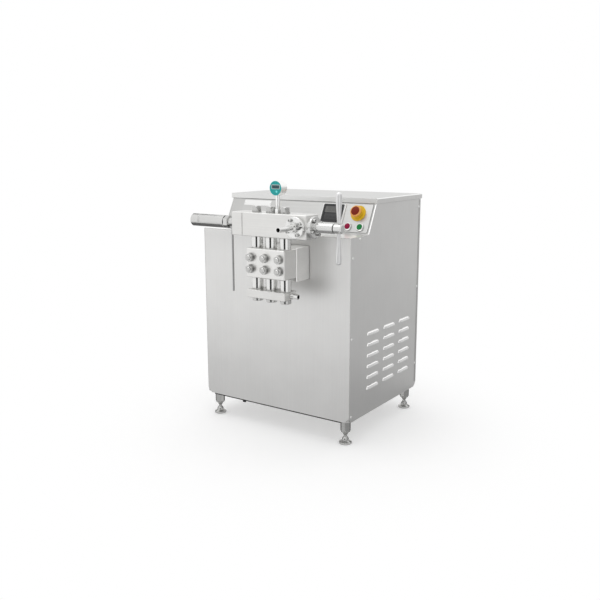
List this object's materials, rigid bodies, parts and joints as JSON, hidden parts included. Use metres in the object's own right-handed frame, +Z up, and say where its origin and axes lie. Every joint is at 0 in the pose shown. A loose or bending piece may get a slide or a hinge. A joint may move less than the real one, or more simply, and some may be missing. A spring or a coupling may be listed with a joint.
{
  "type": "dairy homogenizer",
  "caption": "Free-standing dairy homogenizer: stainless cabinet with louvred side, plunger pump head, hand-set homogenizing valve, relief valve, pressure gauge and sloping console.",
  "frame": {"origin": "middle of the footprint, on the floor", "axes": "+X to the right along the front, +Y to the back, +Z up"},
  "size_m": [0.66, 0.752, 0.892],
  "materials": {
    "satin_steel": "satin brushed stainless sheet",
    "plate_steel": "fine brushed control plate",
    "block_steel": "machined and bead-polished stainless",
    "polished_steel": "polished stainless",
    "foot_steel": "turned stainless",
    "hard_alloy": "ground hard alloy",
    "spring_steel": "bright spring wire",
    "drain_steel": "drawn tube",
    "bronze": "machined bronze",
    "frame_steel": "welded square tube",
    "motor_paint": "blue-grey enamel",
    "casting": "painted casting",
    "pulley_iron": "turned iron",
    "belt_rubber": "ribbed belt",
    "seal_polymer": "packing rings",
    "meter_plastic": "black moulded bezel",
    "gauge_plastic": "teal moulded case",
    "stop_yellow": "yellow plate",
    "stop_red": "red mushroom",
    "stem_plastic": "moulded stem",
    "button_red": "crimson cap",
    "button_green": "green cap"
  },
  "bodies": {
    "machine": {"front_panel": "satin_steel", "left_side_panel": "satin_steel", "right_side_panel": "satin_steel", "rear_panel": "satin_steel", "console_panel": "satin_steel", "top_lid": "satin_steel", "base_pan": "satin_steel", "control_plate": "plate_steel", "crosshead_housing": "block_steel", "pump_block": "block_steel", "discharge_block": "block_steel", "suction_block": "block_steel", "relief_block": "block_steel", "valve_sleeves": "polished_steel", "valve_caps": "polished_steel", "head_nuts": "polished_steel", "inlet_pipe": "polished_steel", "outlet_pipe": "polished_steel", "spring_housing": "polished_steel", "relief_housing": "polished_steel", "button_bezels": "polished_steel", "leg_sockets": "foot_steel", "homogenizing_seat": "hard_alloy", "impact_ring": "hard_alloy", "valve_springs": "spring_steel", "relief_drain": "drain_steel", "cabinet_frame": "frame_steel", "motor": "motor_paint", "crankcase": "casting", "drive_belt": "belt_rubber", "plunger_seals": "seal_polymer", "panel_meter": "meter_plastic", "pressure_gauge": "gauge_plastic", "estop_base": "stop_yellow"},
    "handle": {"handle_spindle": "polished_steel", "handle_bar": "polished_steel"},
    "pusher": {"spring_pusher": "bronze"},
    "piston": {"homogenizing_piston": "polished_steel"},
    "relief_valve": {"relief_poppet": "hard_alloy"},
    "relief_adjuster": {"relief_cap": "polished_steel"},
    "crank": {"crank_pulley": "pulley_iron"},
    "motor_rotor": {"motor_pulley": "pulley_iron"},
    "estop_plunger": {"estop_stem": "stem_plastic"},
    "estop_mushroom": {"estop_head": "stop_red"},
    "start_cap": {"start_button": "button_green"},
    "stop_cap": {"stop_button": "button_red"},
    "plunger_1": {"plunger_1": "polished_steel"},
    "discharge_valve_1": {"discharge_valve_1": "hard_alloy"},
    "suction_valve_1": {"suction_valve_1": "hard_alloy"},
    "plunger_2": {"plunger_2": "polished_steel"},
    "discharge_valve_2": {"discharge_valve_2": "hard_alloy"},
    "suction_valve_2": {"suction_valve_2": "hard_alloy"},
    "plunger_3": {"plunger_3": "polished_steel"},
    "discharge_valve_3": {"discharge_valve_3": "hard_alloy"},
    "suction_valve_3": {"suction_valve_3": "hard_alloy"},
    "foot_front_left": {"foot_front_left": "foot_steel"},
    "foot_front_right": {"foot_front_right": "foot_steel"},
    "foot_rear_left": {"foot_rear_left": "foot_steel"},
    "foot_rear_right": {"foot_rear_right": "foot_steel"}
  },
  "joints": [
    {"name": "handle_turn", "type": "hinge", "parent": "machine", "child": "handle", "pos_m": [0.316, -0.245, 0.7515], "axis": [1, 0, 0], "range_deg": [-1080, 0]},
    {"name": "pusher_advance", "type": "slide", "parent": "machine", "child": "pusher", "axis": [1, 0, 0], "range_m": [-0.006, 0]},
    {"name": "piston_lift", "type": "slide", "parent": "machine", "child": "piston", "axis": [1, 0, 0], "range_m": [0, 0.001], "stiffness_N_per_m": 20000},
    {"name": "relief_lift", "type": "slide", "parent": "machine", "child": "relief_valve", "axis": [-1, 0, 0], "range_m": [0, 0.004], "stiffness_N_per_m": 8000},
    {"name": "relief_adjust", "type": "hinge", "parent": "machine", "child": "relief_adjuster", "pos_m": [-0.266, -0.245, 0.7515], "axis": [1, 0, 0], "range_deg": [-180, 180]},
    {"name": "discharge_lift_1", "type": "slide", "parent": "machine", "child": "discharge_valve_1", "axis": [0, 0, 1], "range_m": [0, 0.004], "stiffness_N_per_m": 1200, "deforming": ["valve_springs"]},
    {"name": "suction_lift_1", "type": "slide", "parent": "machine", "child": "suction_valve_1", "axis": [0, 0, 1], "range_m": [0, 0.004], "stiffness_N_per_m": 1200, "deforming": ["valve_springs"]},
    {"name": "discharge_lift_2", "type": "slide", "parent": "machine", "child": "discharge_valve_2", "axis": [0, 0, 1], "range_m": [0, 0.004], "stiffness_N_per_m": 1200, "deforming": ["valve_springs"]},
    {"name": "suction_lift_2", "type": "slide", "parent": "machine", "child": "suction_valve_2", "axis": [0, 0, 1], "range_m": [0, 0.004], "stiffness_N_per_m": 1200, "deforming": ["valve_springs"]},
    {"name": "discharge_lift_3", "type": "slide", "parent": "machine", "child": "discharge_valve_3", "axis": [0, 0, 1], "range_m": [0, 0.004], "stiffness_N_per_m": 1200, "deforming": ["valve_springs"]},
    {"name": "suction_lift_3", "type": "slide", "parent": "machine", "child": "suction_valve_3", "axis": [0, 0, 1], "range_m": [0, 0.004], "stiffness_N_per_m": 1200, "deforming": ["valve_springs"]},
    {"name": "plunger_stroke_1", "type": "slide", "parent": "machine", "child": "plunger_1", "axis": [0, 1, 0], "range_m": [-0.015, 0.015]},
    {"name": "plunger_stroke_2", "type": "slide", "parent": "machine", "child": "plunger_2", "axis": [0, 1, 0], "range_m": [-0.015, 0.015]},
    {"name": "plunger_stroke_3", "type": "slide", "parent": "machine", "child": "plunger_3", "axis": [0, 1, 0], "range_m": [-0.015, 0.015]},
    {"name": "crank_turn", "type": "hinge", "parent": "machine", "child": "crank", "pos_m": [-0.076, 0.005, 0.626], "axis": [1, 0, 0], "continuous": true},
    {"name": "motor_turn", "type": "hinge", "parent": "machine", "child": "motor_rotor", "pos_m": [-0.076, 0.155, 0.216], "axis": [1, 0, 0], "continuous": true},
    {"name": "estop_push", "type": "slide", "parent": "machine", "child": "estop_plunger", "axis": [0, -0.8944, 0.4472], "range_m": [-0.005, 0], "stiffness_N_per_m": 1500},
    {"name": "estop_twist", "type": "hinge", "parent": "estop_plunger", "child": "estop_mushroom", "pos_m": [0.234, 0.01496, 0.77663], "axis": [0, -0.8944, 0.4472], "range_deg": [-30, 0], "stiffness_Nm_per_rad": 0.2},
    {"name": "start_push", "type": "slide", "parent": "machine", "child": "start_cap", "axis": [0, -0.8944, 0.4472], "range_m": [-0.004, 0], "stiffness_N_per_m": 600},
    {"name": "stop_push", "type": "slide", "parent": "machine", "child": "stop_cap", "axis": [0, -0.8944, 0.4472], "range_m": [-0.004, 0], "stiffness_N_per_m": 600},
    {"name": "level_front_left", "type": "hinge", "parent": "machine", "child": "foot_front_left", "pos_m": [-0.295, -0.104, 0], "axis": [0, 0, 1], "range_deg": [-180, 180]},
    {"name": "level_front_right", "type": "hinge", "parent": "machine", "child": "foot_front_right", "pos_m": [0.263, -0.104, 0], "axis": [0, 0, 1], "range_deg": [-180, 180]},
    {"name": "level_rear_left", "type": "hinge", "parent": "machine", "child": "foot_rear_left", "pos_m": [-0.295, 0.341, 0], "axis": [0, 0, 1], "range_deg": [-180, 180]},
    {"name": "level_rear_right", "type": "hinge", "parent": "machine", "child": "foot_rear_right", "pos_m": [0.263, 0.341, 0], "axis": [0, 0, 1], "range_deg": [-180, 180]}
  ],
  "couplings": [
    {"joint": "pusher_advance", "follows": "handle_turn", "m_per_rad": 0.00031831},
    {"joint": "motor_turn", "follows": "crank_turn", "ratio": 2.5}
  ]
}
